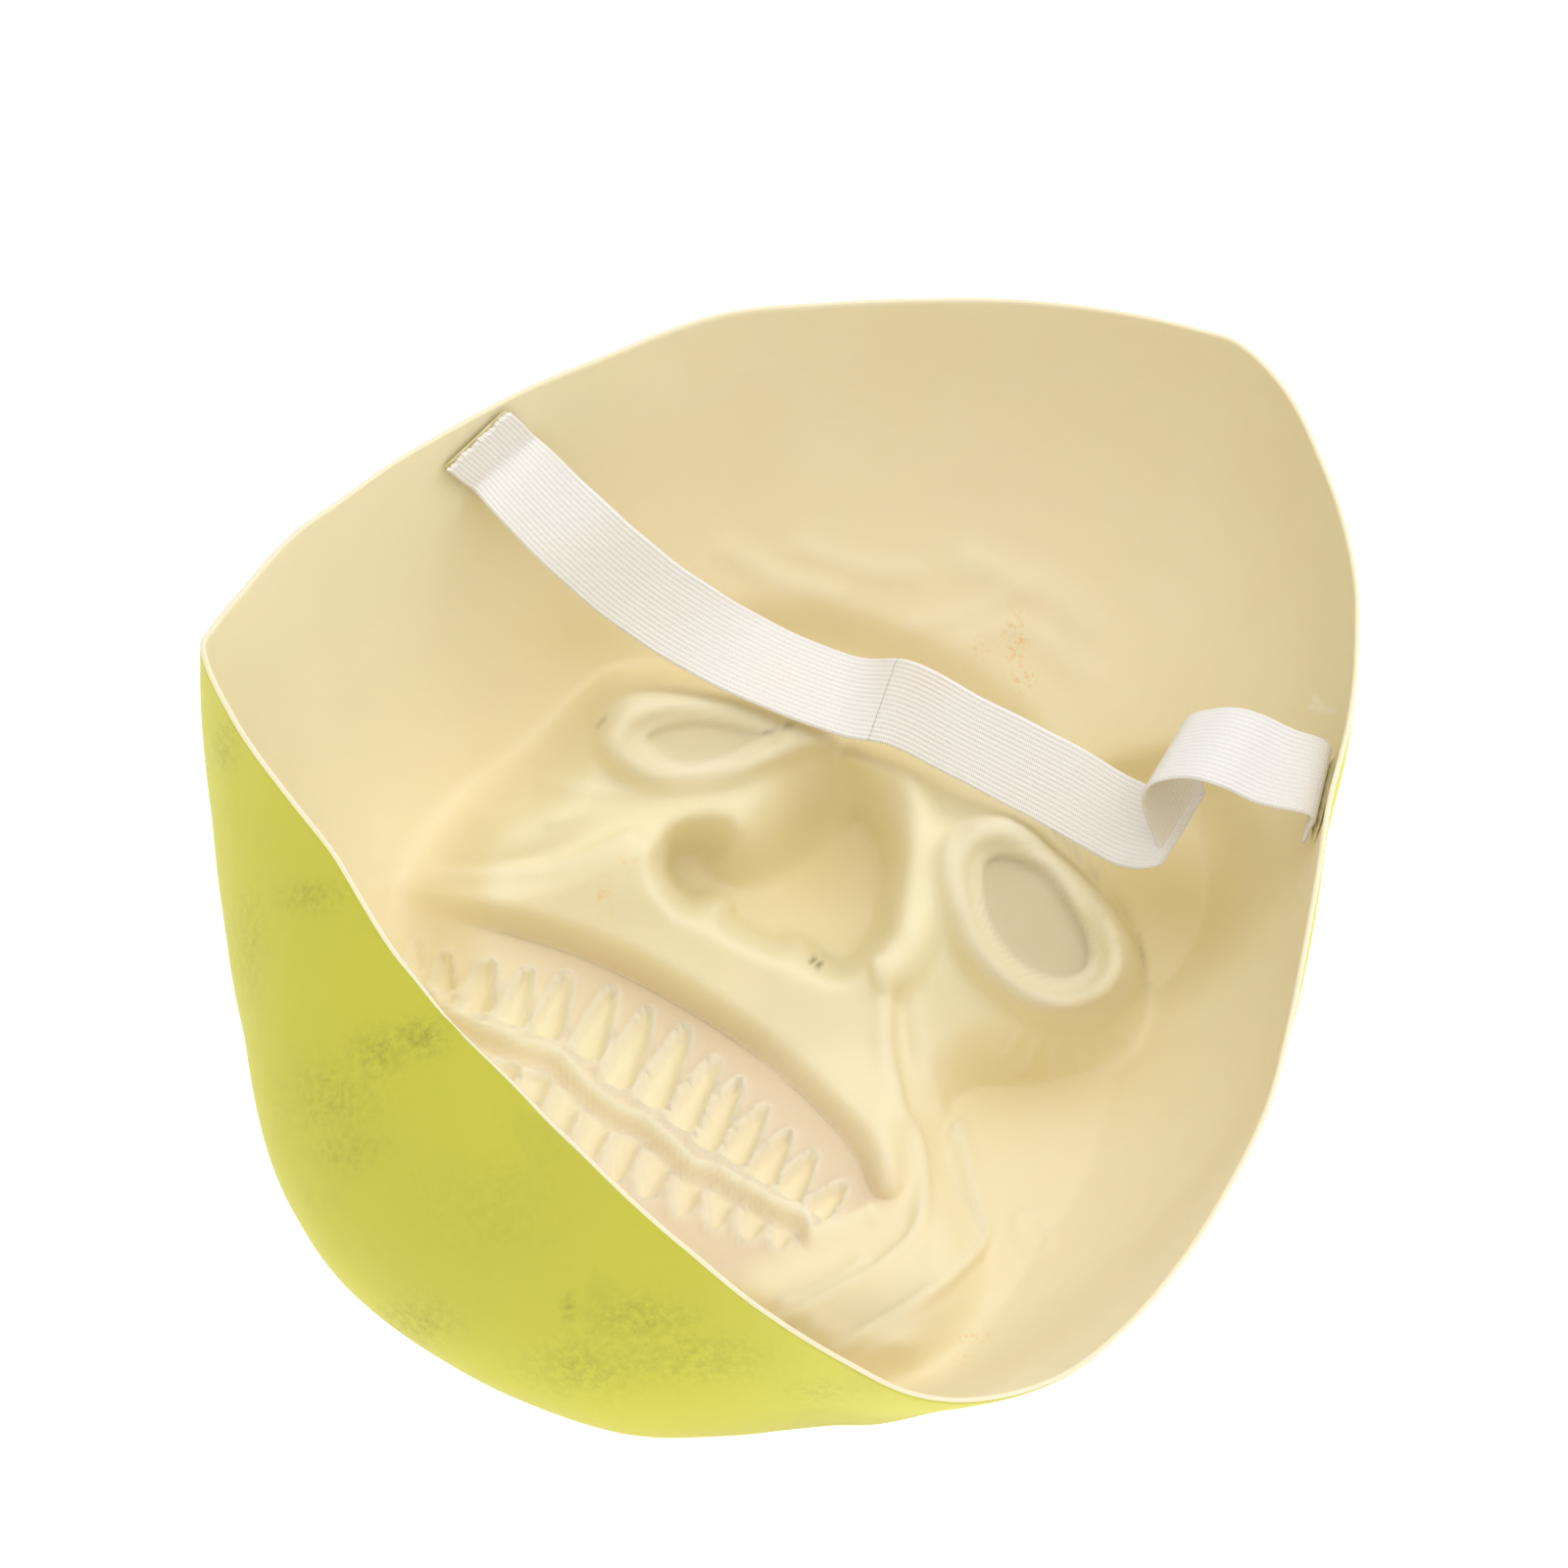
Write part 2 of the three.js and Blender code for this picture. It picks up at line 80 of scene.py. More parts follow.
STRAP = [
  [-74.8, 80.7, 102.5, -61.0, 94.3, 107.5],
  [-72.1, 83.0, 96.6, -58.1, 96.8, 100.6],
  [-69.4, 85.1, 90.9, -55.1, 98.8, 93.8],
  [-55.3, 71.4, 84.0, -40.8, 81.7, 93.2],
  [-36.7, 65.9, 66.0, -23.7, 77.2, 76.2],
  [-12.1, 59.5, 51.0, -3.2, 76.2, 57.4],
  [12.6, 51.6, 45.0, 19.4, 69.2, 51.7],
  [24.9, 49.1, 44.5, 31.4, 63.0, 57.3],
  [40.6, 40.8, 42.0, 45.7, 55.1, 55.0],
  [60.7, 32.1, 36.0, 66.2, 46.4, 48.9],
  [77.4, 24.5, 30.5, 85.1, 40.2, 40.2],
  [84.7, 20.0, 34.8, 94.7, 36.4, 40.4],
  [87.6, 22.3, 35.2, 97.7, 38.7, 40.8],
  [86.4, 24.5, 39.4, 96.4, 40.9, 45.0],
  [83.9, 25.2, 45.6, 93.9, 41.5, 51.2],
  [82.7, 25.2, 52.3, 92.7, 41.6, 57.9],
  [84.2, 24.9, 57.7, 94.2, 41.3, 63.3],
  [88.6, 24.2, 60.6, 98.7, 40.6, 66.2],
  [93.9, 22.5, 62.6, 104.0, 38.8, 68.2],
  [99.9, 19.5, 63.0, 110.0, 35.9, 68.6],
  [106.2, 15.0, 63.6, 116.2, 31.3, 69.2],
  [118.3, 10.6, 63.6, 123.1, 29.8, 66.7],
  [117.6, 10.4, 59.6, 122.4, 29.6, 62.8],
  [116.8, 10.2, 55.8, 121.7, 29.4, 58.9],
]

RIM = np.array(RIM, float); BEARING = np.array(BEARING, float)
TILT = math.radians(50.0)
LOOK = np.array([0, math.cos(TILT), -math.sin(TILT)])
UPW = np.array([0, math.sin(TILT), math.cos(TILT)])
SIGHT = np.array([0, 0, 60.0]) - 1300.0 * LOOK


def around(th, xa, ya):
    xa, ya = np.asarray(xa, float), np.asarray(ya, float)
    th = (np.asarray(th, float) + 180) % 360 - 180
    n = len(xa)
    xe = np.r_[xa[-2:] - 360, xa, xa[:2] + 360]
    ye = np.r_[ya[-2:], ya, ya[:2]]
    m = (ye[2:] - ye[:-2]) / (xe[2:] - xe[:-2])
    i = np.clip(np.searchsorted(xe, th, side="right") - 1, 1, n + 1)
    h = xe[i + 1] - xe[i]
    t = (th - xe[i]) / h
    return ((2 * t**3 - 3 * t**2 + 1) * ye[i] + (t**3 - 2 * t**2 + t) * h * m[i - 1]
            + (-2 * t**3 + 3 * t**2) * ye[i + 1] + (t**3 - t**2) * h * m[i])


def bowl(th, s):
    rr, zr = around(th, RIM[:, 0], RIM[:, 1]), around(th, RIM[:, 0], RIM[:, 2])
    b, p, q = (around(th, BEARING, a) for a in (BULGE, PLAN_POWER, RISE_POWER))

    def at(t):
        si, co = np.sin(t * np.pi / 2), np.clip(np.cos(t * np.pi / 2), 0, None)
        return rr * si**p + b * 6.75 * t * t * (1 - t), zr * (1 - co**q) - SINK * (1 - t**3)

    N = 64
    L = np.zeros((N + 1, len(th)))
    prev = at(np.zeros(len(th)))
    for i in range(1, N + 1):
        cur = at(np.full(len(th), (i / N) ** 2))
        L[i] = L[i - 1] + np.hypot(cur[0] - prev[0], cur[1] - prev[1])
        prev = cur
    want = s * L[N]
    i = np.clip((L < want).sum(0), 1, N)
    k = np.arange(len(th))
    f = (want - L[i - 1, k]) / (L[i, k] - L[i - 1, k])
    t0, t1 = ((i - 1) / N) ** 2, (i / N) ** 2
    rho, z = at(np.clip(t0 + (t1 - t0) * f, 0, 1))
    a = np.radians(th)
    return np.stack([CENTRE[0] + rho * np.cos(a), CENTRE[1] + rho * np.sin(a), z], -1)


def on_sheet(v):
    d = v - SIGHT
    dep = d @ LOOK
    return 794 + 5980 * d[:, 0] / dep, 883 - 5980 * (d @ UPW) / dep


def smooth(t):
    t = np.clip(t, 0, 1)
    return t * t * (3 - 2 * t)


def edge_distance(x, y, poly, reach=1e9):
    """Signed distance (inside +) and softness of the closest edge."""
    poly = np.array([list(p) + [0] * (3 - len(p)) for p in poly], float)
    best = np.full(x.shape, 1e9); soft = np.ones(x.shape); inside = np.zeros(x.shape, bool)
    for j in range(len(poly)):
        ax, ay, a_s = poly[j - 1]; bx, by, b_s = poly[j]
        ex, ey = bx - ax, by - ay
        t = np.clip(((x - ax) * ex + (y - ay) * ey) / (ex * ex + ey * ey), 0, 1)
        d = np.hypot(x - ax - t * ex, y - ay - t * ey)
        m = d < best
        best = np.where(m, d, best); soft = np.where(m, a_s + (b_s - a_s) * t, soft)
        if ay != by:
            inside ^= ((ay > y) != (by > y)) & (x < ax + (y - ay) / (by - ay) * ex)
    return np.where(inside, best, -best), soft


def rounded(poly, n=4):
    """Catmull-Rom rounding of a closed outline."""
    p = np.array(poly, float); out = []
    m = len(p)
    for i in range(m):
        a, b, c, d = p[i - 1], p[i], p[(i + 1) % m], p[(i + 2) % m]
        for k in range(n):
            t = k / n
            out.append(0.5 * ((2 * b) + (c - a) * t + (2 * a - 5 * b + 4 * c - d) * t * t + (3 * b - a - 3 * c + d) * t**3))
    return np.array(out)


def line_distance(x, y, line):
    best = np.full(x.shape, 1e9)
    for i in range(1, len(line)):
        (ax, ay), (bx, by) = line[i - 1][:2], line[i][:2]
        ex, ey = bx - ax, by - ay
        t = np.clip(((x - ax) * ex + (y - ay) * ey) / (ex * ex + ey * ey), 0, 1)
        best = np.minimum(best, np.hypot(x - ax - t * ex, y - ay - t * ey))
    return best


def curve(line, n=6):
    p = np.array(line, float); p = np.vstack([2 * p[0] - p[1], p, 2 * p[-1] - p[-2]]); out = []
    for i in range(1, len(p) - 2):
        a, b, c, d = p[i - 1:i + 3]
        for k in range(n):
            t = k / n
            out.append(0.5 * ((2 * b) + (c - a) * t + (2 * a - 5 * b + 4 * c - d) * t * t + (3 * b - a - 3 * c + d) * t**3))
    out.append(p[-2])
    return out


# ---- fine relief, raised on the inner face ----
MOUTH = [[395,935],[480,928],[600,963],[700,1013],[800,1083],[878,1162],[908,1210],[893,1243],[868,1250],[838,1268],[790,1290],[740,1310],[680,1290],[600,1210],[520,1130],[440,1040],[405,980]]
UPPER = [((429,958),(424,996),9),((459,974),(455,1018),10),((499,984),(487,1040),13),((538,994),(520,1056),13),((578,998),(552,1070),14),((626,1014),(594,1092),15),((663,1037),(624,1122),15),((701,1056),(660,1142),15),((731,1088),(690,1163),14),((755,1110),(714,1184),13),((781,1138),(744,1197),13),((806,1164),(772,1216),13),((831,1186),(799,1232),13),((863,1216),(830,1250),12)]
BITE = curve([(440,1012),(469,1039),(513,1062),(540,1074),(568,1083),(587,1104),(612,1127),(633,1141),(656,1150),(684,1173),(705,1194),(730,1201),(762,1219),(795,1238),(818,1247),(832,1266),(860,1256),(892,1242)])
LOWER = [((520,1092),(500,1130),12),((549,1104),(528,1150),13),((582,1122),(562,1172),13),((612,1148),(590,1196),13),((642,1166),(622,1214),13),((673,1186),(655,1232),13),((706,1206),(692,1250),13),((738,1220),(728,1262),12),((770,1236),(762,1274),12),((800,1252),(794,1282),11)]
FOLDS = [
    (2.0, 7.5, [(899,985),(901,1030),(901,1062),(908,1100),(917,1136),(933,1164),(940,1210),(936,1256),(906,1289),(864,1316),(804,1344),(750,1360)]),
    (1.7, 7.5, [(975,1165),(982,1182),(996,1233),(1005,1261),(989,1284),(934,1330),(855,1377)]),
    (1.0, 10, [(930,1020),(940,1070),(955,1130),(975,1165)]),
    (1.1, 8, [(878,1290),(850,1310),(800,1330)]),
    (0.9, 8, [(385,870),(392,850),(384,835)]),
    (1.4, 8, [(380,902),(420,893),(470,895),(520,893),(580,884),(640,856)]),
    (0.8, 9, [(560,800),(620,806),(700,806),(760,796)]),
    (0.7, 10, [(975,835),(1000,828),(1030,832)]),
    (0.6, 10, [(1000,845),(1035,842),(1060,850)]),
    (0.7, 5, [(1058,1060),(1046,1090)]), (0.5, 5, [(1078,1064),(1074,1098)]), (0.5, 5, [(1100,1062),(1104,1092)]), (0.5, 5, [(1040,1052),(1022,1076)]),
    (0.8, 14, [(740,560),(790,590),(850,606)]), (0.7, 14, [(820,560),(880,580),(930,584)]), (0.9, 20, [(990,575),(1060,600),(1110,640)]), (0.8, 16, [(985,655),(1040,640),(1110,690)]),
    (0.5, 12, [(930,640),(990,625),(1040,600)]),
]
EYE_R = [[962,870],[975,845],[1010,835],[1060,845],[1105,885],[1145,945],[1158,985],[1150,1015],[1120,1038],[1080,1040],[1030,1020],[985,975],[965,920]]
BOWL_R = [[993,890],[1005,868],[1035,865],[1075,885],[1110,935],[1122,975],[1110,1000],[1075,1008],[1030,985],[1000,940]]
EYE_L = [[612,745],[630,715],[680,705],[740,712],[800,735],[862,747],[820,765],[760,788],[700,797],[650,795],[618,770]]
BOWL_L = [[648,755],[670,735],[720,728],[790,745],[770,765],[720,787],[680,785]]


def tooth(a, b, w, round_end=False):
    a, b = np.array(a, float), np.array(b, float)
    n = np.array([-(b - a)[1], (b - a)[0]]); n /= np.hypot(*n)
    if round_end:
        ts = [(0, .85), (.35, 1), (.7, .9), (.92, .5)]
    else:
        ts = [(.08, .35), (.25, .62), (.55, .9), (.9, 1)]
    left = [a + (b - a) * t + n * w * k for t, k in ts]
    right = [a + (b - a) * t - n * w * k for t, k in ts][::-1]
    tip = [a] if not round_end else []
    end = [b] if round_end else []
    return rounded(tip + left + end + right, 3)


def gauss(d, w):
    return np.exp(-(d / w) ** 2)


def details(x, y):
    d = np.zeros(x.shape); gum = np.zeros(x.shape); crest_highlight = np.zeros(x.shape)
    box = (x > 370) & (x < 960) & (y > 900) & (y < 1400)
    xb, yb = x[box], y[box]
    md, _ = edge_distance(xb, yb, rounded(MOUTH, 3))
    inm = smooth(md / 32 + 0.5)
    tin = np.zeros(xb.shape); tr = np.zeros(xb.shape)
    for a, b, w in UPPER:
        e, _ = edge_distance(xb, yb, tooth(a, b, w))
        tin = np.maximum(tin, smooth(e / 6 + 0.5)); tr = np.maximum(tr, gauss(e - (-1.5), 4.2))
    for a, b, w in LOWER:
        e, _ = edge_distance(xb, yb, tooth(a, b, w, True))
        tin = np.maximum(tin, 0.8 * smooth(e / 6 + 0.5)); tr = np.maximum(tr, 0.8 * gauss(e - (-1.5), 4.2))
    bl = line_distance(xb, yb, BITE)
    gl = line_distance(xb, yb, [(px - 7, py + 13) for px, py in BITE])
    h = inm * (2.3 * (1 - tin) + 1.5 * tr + 2.1 * gauss(bl, 4.8)) * (1 - 0.98 * gauss(gl, 6)) + 0.5 * gauss(md, 11)
    d[box] += h
    gum[box] = inm * (1 - tin) * (1 - gauss(bl, 8)) * np.clip((xb - 380) / 300, 0.35, 1)
    # crest_highlight: painted highlight on the raised tooth rims and bite line, and below on the eye rims and fold
    # ridges
    crest_highlight[box] = inm * np.clip(tr + gauss(bl, 5), 0, 1) * 0.9
    for p, hh, w in ((EYE_R, .5, 7), (BOWL_R, 1.1, 4.5), (EYE_L, .5, 6), (BOWL_L, .8, 4)):
        e, _ = edge_distance(x, y, rounded(p))
        d += hh * gauss(e - 5, w)
        crest_highlight += 0.5 * gauss(e - 5, w * 1.5)
    e, _ = edge_distance(x, y, rounded([[980, 880], [998, 852], [1038, 850], [1090, 885], [1128, 938], [1140, 978], [1128, 1012], [1080, 1024], [1028, 1000], [990, 950]]))
    d += 0.7 * gauss(e, 4.5)
    for hh, w, line in FOLDS:
        g = gauss(line_distance(x, y, curve(line)), w)
        d += hh * g
        crest_highlight += 0.35 * g
    r = np.hypot(x - 1054, y - 1264)
    d += 0.8 * gauss(r - 17, 6)
    return d, gum, np.clip(crest_highlight, 0, 1)


def relief(x, y, least):
    h = np.zeros(x.shape)
    for a in AREAS:
        e, s = edge_distance(x, y, rounded(a["p"], 3))
        h += 1.0 * a["h"] * smooth(e / np.hypot(s, least) + 0.5)
    return h


def grid_normals(P, N1):
    G = P.reshape(N1, N1, 3)
    n = np.cross(np.gradient(G, axis=1), np.gradient(G, axis=0))
    n /= np.linalg.norm(n, axis=2)[..., None] + 1e-12
    return n.reshape(-1, 3)


def soften(A, N1, times):
    A = A.reshape(N1, N1, -1).copy()
    for _ in range(times):
        B = A.copy()
        B[1:-1, 1:-1] = (A[1:-1, 1:-1] * 4 + A[:-2, 1:-1] + A[2:, 1:-1] + A[1:-1, :-2] + A[1:-1, 2:]) / 8
        A = B
    return A.reshape(N1 * N1, -1)


GRID = 320
N1 = GRID + 1
u = np.linspace(-1, 1, N1)
U, V = np.meshgrid(u, u)
X, Y = U * np.sqrt(1 - V * V / 2), V * np.sqrt(1 - U * U / 2)
th = np.degrees(np.arctan2(Y, X)).ravel()
s = np.clip(np.hypot(X, Y), 0, 1).ravel()
base = bowl(th, s)
px, py = on_sheet(base)
live = 1 - smooth((s - around(th, BEARING, FADE)) / 0.18)
rays = SIGHT - base
rays /= np.linalg.norm(rays, axis=1)[:, None]
body_mm = base + (relief(px, py, 26.0) * live)[:, None] * rays
body_mm = soften(body_mm, N1, 2)
body_mm[:, 2] = np.maximum(body_mm[:, 2], SKIN)
nrm = grid_normals(soften(body_mm, N1, 4), N1)
dd, gum, crest_highlight = details(px, py)
# gentle handmade unevenness
wav = 0.35 * np.sin(base[:, 0] / 17 + 1.3) * np.cos(base[:, 1] / 21) + 0.2 * np.sin(base[:, 0] / 9 - base[:, 1] / 12)
outer = body_mm.copy()
edge = np.zeros((N1, N1), bool); edge[0] = edge[-1] = edge[:, 0] = edge[:, -1] = True
edge = edge.ravel()
G3 = nrm.reshape(N1, N1, 3)
for r0, c0, r1, c1_ in ((0, 0, 6, 6), (0, N1 - 1, 6, N1 - 7), (N1 - 1, 0, N1 - 7, 6), (N1 - 1, N1 - 1, N1 - 7, N1 - 7)):
    ri, ci = (slice(0, 6) if r0 == 0 else slice(N1 - 6, N1)), (slice(0, 6) if c0 == 0 else slice(N1 - 6, N1))
    G3[ri, ci] = G3[r1, c1_]
nrm = G3.reshape(-1, 3)
inner = body_mm + (dd * live * smooth((0.97 - s) / 0.1) + 0.35 * (wav + 0.55) * smooth((0.97 - s) / 0.1))[:, None] * nrm
nn = nrm.copy(); nn[edge, 2] = 0; nn[edge] /= np.linalg.norm(nn[edge], axis=1)[:, None]
thick = 1.5 - 0.25 * smooth((s - 0.9) / 0.1)
off = nn * (1 - live)[:, None] + rays * (1.25 * live)[:, None]
outer -= off * thick[:, None]
flat = body_mm[:, 2] <= SKIN + 0.02
outer[flat, 2] = 0
outer[:, 2] = np.maximum(outer[:, 2], 0)

# shell mesh: inner sheet, outer sheet, rim lip with one rounded middle row
n = N1 * N1
quads = []
idx = np.arange(n).reshape(N1, N1)
a, b, c, d4 = idx[:-1, :-1].ravel(), idx[:-1, 1:].ravel(), idx[1:, 1:].ravel(), idx[1:, :-1].ravel()
inq = np.stack([a, b, c, d4], 1)
outq = np.stack([a, d4, c, b], 1) + n
ring = np.r_[idx[0, :-1], idx[:-1, -1], idx[-1, :0:-1], idx[:0:-1, 0]]
k = len(ring)
lip = (inner[ring] + outer[ring]) / 2 + np.array([0, 0, 0.45])
lip_id = 2 * n + np.arange(k)
nx = np.roll(np.arange(k), -1)
rimq = np.vstack([np.stack([ring, lip_id, lip_id[nx], ring[nx]], 1), np.stack([lip_id, ring + n, ring[nx] + n, lip_id[nx]], 1)])
verts = np.vstack([inner, outer, lip])
faces = np.vstack([inq, outq, rimq])


def mesh(name, verts, faces, mats, index=None, smooth_shade=True):
    me = bpy.data.meshes.new(name)
    me.from_pydata(((verts + SHIFT) / 1000).tolist(), [], faces.tolist())
    for m in mats:
        me.materials.append(m)
    if index is not None:
        me.polygons.foreach_set("material_index", np.asarray(index, np.int32))
    me.polygons.foreach_set("use_smooth", np.full(len(me.polygons), smooth_shade))
    me.update()
    o = bpy.data.objects.new(name, me)
    bpy.context.scene.collection.objects.link(o)
    return o


def attr(o, name, values):
    at = o.data.attributes.new(name, "FLOAT", "POINT")
    at.data.foreach_set("value", np.asarray(values, np.float32))


# ---------------- materials ----------------
def material(name):
    m = bpy.data.materials.new(name); m.use_nodes = True
    t = m.node_tree
    return m, t, t.nodes["Principled BSDF"]


def node(t, kind, **sockets):
    nd = t.nodes.new(kind)
    for k2, v in sockets.items():
        nd.inputs[k2].default_value = v
    return nd


def mix(t, fac, a, b):
    m = t.nodes.new("ShaderNodeMix"); m.data_type = "RGBA"
    for sock, v in ((m.inputs[0], fac), (m.inputs[6], a), (m.inputs[7], b)):
        if isinstance(v, (int, float)):
            sock.default_value = v
        elif isinstance(v, tuple):
            sock.default_value = (*v, 1)
        else:
            t.links.new(v, sock)
    return m.outputs[2]


def ramp(t, src, lo, hi):
    r = t.nodes.new("ShaderNodeMapRange"); r.inputs[1].default_value = lo; r.inputs[2].default_value = hi
    t.links.new(src, r.inputs[0]); return r.outputs[0]


def noise(t, coord, scale, detail=4.0, rough=0.55):
    nz = t.nodes.new("ShaderNodeTexNoise"); nz.inputs["Scale"].default_value = scale; nz.inputs["Detail"].default_value = detail; nz.inputs["Roughness"].default_value = rough
    t.links.new(coord, nz.inputs["Vector"]); return nz.outputs["Fac"]


def attribute(t, name):
    a2 = t.nodes.new("ShaderNodeAttribute"); a2.attribute_name = name; return a2.outputs["Fac"]


def mul(t, a2, b2):
    m = t.nodes.new("ShaderNodeMath"); m.operation = "MULTIPLY"
    for i2, v in enumerate((a2, b2)):
        if isinstance(v, (int, float)):
            m.inputs[i2].default_value = v
        else:
            t.links.new(v, m.inputs[i2])
    return m.outputs[0]


def bump(t, bsdf, height, strength, distance):
    b2 = t.nodes.new("ShaderNodeBump"); b2.inputs["Strength"].default_value = strength; b2.inputs["Distance"].default_value = distance
    t.links.new(height, b2.inputs["Height"]); t.links.new(b2.outputs[0], bsdf.inputs["Normal"])


# SHADE_YELLOW is painted shade for the inside recesses and the strap's shadow
CREAM, WARM, SHADE_YELLOW = (0.84, 0.77, 0.52), (0.86, 0.745, 0.51), (0.78, 0.65, 0.30)
# HIGHLIGHT_CREAM is a painted highlight for raised crests
GUM, HIGHLIGHT_CREAM, SPECK = (0.70, 0.55, 0.40), (0.90, 0.84, 0.66), (0.85, 0.47, 0.13)

latex, t, bs = material("latex_inside")
co = t.nodes.new("ShaderNodeTexCoord").outputs["Object"]
col = mix(t, ramp(t, noise(t, co, 9, 3), 0.35, 0.7), CREAM, WARM)
col = mix(t, ramp(t, noise(t, co, 34, 5), 0.45, 0.75), col, (0.86, 0.78, 0.54))
# painted shade: darker yellow in the eye, nose and temple recesses and under the strap's shadow
col = mix(t, attribute(t, "recess_and_strap_shade"), col, SHADE_YELLOW)
# painted shade: greyish tan in the eye bowls and a few hollows by the mouth and chin
col = mix(t, attribute(t, "hollow_shade"), col, (0.60, 0.515, 0.33))
col = mix(t, mul(t, attribute(t, "gum"), 0.6), col, GUM)
# painted highlight: paler cream on raised crests and the rim lip
col = mix(t, mul(t, attribute(t, "crest_highlight"), 0.55), col, HIGHLIGHT_CREAM)
col = mix(t, mul(t, mul(t, attribute(t, "speck"), 0.7), ramp(t, noise(t, co, 700, 3), 0.50, 0.66)), col, SPECK)
# painted shade standing in for the nostril hole and eye slits
col = mix(t, mul(t, attribute(t, "hole_shade"), 0.85), col, (0.12, 0.09, 0.05))
col = mix(t, mul(t, attribute(t, "scratch"), 0.6), col, (0.95, 0.92, 0.86))
t.links.new(col, bs.inputs["Base Color"])
bs.inputs["Roughness"].default_value = 0.62
bs.inputs["Specular IOR Level"].default_value = 0.35
bs.inputs["Subsurface Weight"].default_value = 0.12
bs.inputs["Subsurface Radius"].default_value = (1.0, 0.8, 0.45)
bs.inputs["Subsurface Scale"].default_value = 0.003
bump(t, bs, noise(t, co, 260, 6, 0.6), 0.12, 0.0006)

paint, t, bs = material("painted_outside")
co = t.nodes.new("ShaderNodeTexCoord").outputs["Object"]
col = mix(t, ramp(t, noise(t, co, 7, 3), 0.35, 0.7), (0.57, 0.54, 0.055), (0.51, 0.49, 0.07))
col = mix(t, mul(t, ramp(t, noise(t, co, 60, 6, 0.7), 0.5, 0.8), 0.5), col, (0.50, 0.50, 0.07))
fine = ramp(t, noise(t, co, 520, 6, 0.75), 0.40, 0.66)
dirt = mul(t, attribute(t, "smudge"), fine)
col = mix(t, mul(t, dirt, 0.8), col, (0.26, 0.24, 0.04))
# painted shade: the outside darker towards the floor
col = mix(t, mul(t, attribute(t, "floor_shade"), 0.8), col, (0.40, 0.34, 0.065))
col = mix(t, mul(t, ramp(t, noise(t, co, 24, 5, 0.65), 0.56, 0.74), 0.35), col, (0.36, 0.36, 0.06))
t.links.new(col, bs.inputs["Base Color"])
bs.inputs["Roughness"].default_value = 0.6
bs.inputs["Specular IOR Level"].default_value = 0.3
bump(t, bs, noise(t, co, 380, 7, 0.65), 0.25, 0.0006)

elastic, t, bs = material("ribbed_elastic")
uv = t.nodes.new("ShaderNodeUVMap"); uv.uv_map = "strap"
sep = t.nodes.new("ShaderNodeSeparateXYZ"); t.links.new(uv.outputs[0], sep.inputs[0])


def wave(t, src, period):
    m1 = t.nodes.new("ShaderNodeMath"); m1.operation = "MULTIPLY"; m1.inputs[1].default_value = 2 * math.pi / period; t.links.new(src, m1.inputs[0])
    m2 = t.nodes.new("ShaderNodeMath"); m2.operation = "SINE"; t.links.new(m1.outputs[0], m2.inputs[0])
    m3 = t.nodes.new("ShaderNodeMath"); m3.operation = "MULTIPLY_ADD"; m3.inputs[1].default_value = 0.5; m3.inputs[2].default_value = 0.5; t.links.new(m2.outputs[0], m3.inputs[0])
    return m3.outputs[0]


knit = mul(t, wave(t, sep.outputs[0], 0.55), wave(t, sep.outputs[1], 1.111))
co = t.nodes.new("ShaderNodeTexCoord").outputs["Object"]
col = mix(t, knit, (0.83, 0.80, 0.755), (0.93, 0.91, 0.885))
col = mix(t, mul(t, ramp(t, noise(t, co, 30, 3), 0.5, 0.75), 0.35), col, (0.86, 0.82, 0.74))
# warm stain tint on the strap, plus painted shade on the turned-over underside in its twist
col = mix(t, mul(t, attribute(t, "stain_and_shade"), 0.5), col, (0.90, 0.78, 0.66))
t.links.new(col, bs.inputs["Base Color"])
bs.inputs["Roughness"].default_value = 0.9
bs.inputs["Specular IOR Level"].default_value = 0.15
bump(t, bs, knit, 0.5, 0.00025)

cement, t, bs = material("latex_cement")
co = t.nodes.new("ShaderNodeTexCoord").outputs["Object"]
col = mix(t, ramp(t, noise(t, co, 300, 4), 0.4, 0.65), (0.80, 0.72, 0.44), (0.70, 0.63, 0.30))
t.links.new(col, bs.inputs["Base Color"]); bs.inputs["Roughness"].default_value = 0.35
bump(t, bs, noise(t, co, 500, 4), 0.3, 0.0005)

# ---------------- shell ----------------
mi = np.r_[np.zeros(len(inq), int), np.ones(len(outq), int), np.zeros(len(rimq), int)]
shell = mesh("mask_latex_shell", verts, faces, [latex, paint], mi)


def spots(x, y, items):
    out = np.zeros(x.shape)
    for cx, cy, rx, ry, k2 in items:
        out = np.maximum(out, k2 * np.exp(-((x - cx) / rx) ** 2 - ((y - cy) / ry) ** 2))
    return out


ix, iy = on_sheet(inner)
# recess_and_strap_shade: painted shade, darker yellow spots in the eye, nose and temple recesses and where the strap
# casts its shadow on the inside
recess_and_strap_shade = spots(px, py, [(1060, 945, 46, 52, .6), (710, 755, 60, 26, .35), (850, 1345, 60, 40, .3), (820, 905, 60, 50, .35), (1185, 925, 90, 60, .75), (820, 885, 70, 70, .5), (880, 770, 70, 40, .4), (1050, 1095, 70, 50, .35), (1010, 1120, 60, 90, .3), (600, 650, 60, 40, .35), (700, 690, 60, 25, .3), (640, 830, 120, 40, .15), (1150, 780, 90, 40, .25)])
